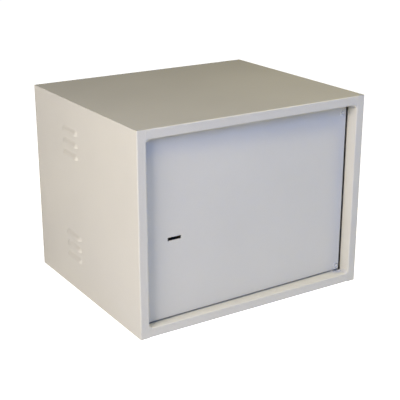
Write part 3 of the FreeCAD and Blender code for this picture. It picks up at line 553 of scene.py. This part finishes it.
# %% [markdown]
# ## A weld tack beside the lower hinge
#
# Where the pivot pin's foot meets the frame, the welder left a small tack that the grinder could
# not reach. A tack is a lump of metal that froze while it was still round: a few millimetres
# long, flat underneath and lopsided. A finely divided ball is squashed flat, its lower half is
# pushed up level, and slow waves round its rim take away the look of a perfect ball.

# %% Weld tack
TACK_SIZE = Vector((8.0, 5.0, 2.4)) * MM  # the last is its height above the rail
TACK_BEHIND_FRONT = 20.5 * MM
FLAT_BOTTOM = -0.12  # as a share of the height
start_piece()
bpy.ops.mesh.primitive_ico_sphere_add(subdivisions=4, radius=0.5)
tack = bpy.context.object
for vertex in tack.data.vertices:
    wave = 1 + 0.08 * math.sin(vertex.co.x * 11) + 0.07 * math.cos(vertex.co.y * 13 + 1)
    raised = max(vertex.co.z * 2, FLAT_BOTTOM)
    lump = Vector((vertex.co.x * wave, vertex.co.y * wave, raised))
    vertex.co = lump * TACK_SIZE
tack.location = (opening_right - TACK_SIZE.x * 0.8, front_y + TACK_BEHIND_FRONT, opening_bottom)
tack = finish_piece("painted_weld_tack", case_paint, "cabinet", smooth_angle=60)
print(tack.name, [round(v / MM, 1) for v in tack.dimensions])

# %% [markdown]
# ## Floor and sky
#
# The cabinet stands on a wide pale sheet, under a sky that is dark at the horizon and dim grey
# overhead. Both give only a little light of their own, because bare panels look flat when light
# comes from everywhere. To the camera both are simply white: Light Path tells the shader which
# rays come from the camera, so a surface can look brighter than the light it gives.


# %% Floor and sky
def radiance(red, green, blue):
    """A colour as RGBA whose strongest part is 1, and the strength that goes with it."""
    peak = max(red, green, blue)
    return [red / peak, green / peak, blue / peak, 1.0], peak


FLOOR_RADIUS, FLOOR_DROP = 14, 0.5 * MM  # the drop keeps the floor clear of the cabinet's underside
SEEN_GLOW = 1.0  # how bright the sheet looks to the camera
start_piece()
bpy.ops.mesh.primitive_circle_add(
    vertices=64, radius=FLOOR_RADIUS, fill_type="NGON", location=(0, 0, -FLOOR_DROP))
floor = bpy.context.object
floor.name = "studio_floor"
glow_colour, glow = radiance(0.030, 0.036, 0.040)
floor_paint, tree, shader, _ = start_material("pale_floor", Base_Color=linear("F2F2F2"), Roughness=0.9)
shader.inputs["Specular IOR Level"].default_value = 0.1
seen = add_node(tree, "LightPath", {}).outputs["Is Camera Ray"]
shade = add_node(tree, "MixRGB", {"Fac": seen, "Color1": glow_colour, "Color2": linear("FFFFFF")})
power = add_node(tree, "MapRange", {"Value": seen, "To Min": glow, "To Max": SEEN_GLOW})
feed(tree, shader, Emission_Color=shade.outputs[0], Emission_Strength=power.outputs[0])
floor.data.materials.append(floor_paint)

world = bpy.data.worlds.new("studio_sky")
bpy.context.scene.world = world
world.use_nodes = True
tree = world.node_tree
tree.nodes.clear()
ceiling_colour, ceiling = radiance(0.020, 0.024, 0.026)
direction = add_node(tree, "TexCoord", {}).outputs["Generated"]
height = add_node(tree, "SeparateXYZ", {"Vector": direction})
fade = add_node(tree, "MapRange", {
    "Value": height.outputs["Z"], "From Min": 0.2, "From Max": 0.6}, interpolation_type="SMOOTHSTEP")
sky = add_node(tree, "MixRGB", {
    "Fac": fade.outputs[0], "Color1": linear("000000"), "Color2": ceiling_colour})
lit = add_node(tree, "Background", {"Color": sky.outputs[0], "Strength": ceiling})
white = add_node(tree, "Background", {"Color": linear("FFFFFF"), "Strength": 1.0})
seen = add_node(tree, "LightPath", {}).outputs["Is Camera Ray"]
either = add_node(tree, "MixShader", {"Fac": seen})
tree.links.new(lit.outputs[0], either.inputs[1])
tree.links.new(white.outputs[0], either.inputs[2])
add_node(tree, "OutputWorld", {"Surface": either.outputs[0]})
print("floor glow", round(glow, 3), "ceiling", round(ceiling, 3))

# %% [markdown]
# ## Three softboxes
#
# The paint is plain, so the light does the modelling. A warm softbox on the left shapes that
# side. A smaller one high on the right draws the bright line along the top fold and throws the
# soft shadow under the frame's top rail. A broad cool one in front fills that shadow with blue.
# Each is an area light aimed at a point on the cabinet.


# %% Lamps
def softbox(name, place, target, size, watts):
    """A square area light that faces a point. Its red, green and blue are given in watts."""
    bpy.ops.object.light_add(type="AREA", location=place)
    lamp = bpy.context.object
    lamp.name = name
    lamp.rotation_euler = (Vector(target) - Vector(place)).to_track_quat("-Z", "Y").to_euler()
    colour, power = radiance(*watts)
    lamp.data.size, lamp.data.energy, lamp.data.color = size, power, colour[:3]
    lamp.visible_camera = False
    return lamp


softbox("warm_key_left", (-2.3, -1.15, 1.35), (-0.2, -0.1, 0.2), 1.1, (66.5, 60.5, 55.5))
softbox("cool_fill_front", (0.6, -2.2, 1.7), (0.0, -0.2, 0.2), 1.2, (0.5, 5.6, 21.0))
softbox("warm_rim_right", (1.1, -0.9, 2.0), (0.1, -0.2, 0.2), 0.6, (25, 21, 10))

# %% [markdown]
# ## The camera
#
# A long lens from a little above and to the left shows the side, the top and the front at once.
# From that far away their edges converge only slightly, so the proportions read true.

# %% Camera
EYE = Vector((-1.0402, -1.6521, 0.8468))
TURN, DIP = math.radians(32.45), math.radians(19.21)
bpy.ops.object.camera_add(location=EYE, rotation=(math.pi / 2 - DIP, 0, -TURN))
camera = bpy.context.object
camera.data.sensor_width, camera.data.lens = 36, 85.9
bpy.context.scene.camera = camera
bpy.context.scene.view_settings.view_transform = "Standard"
print("camera", [round(v, 3) for v in camera.location])
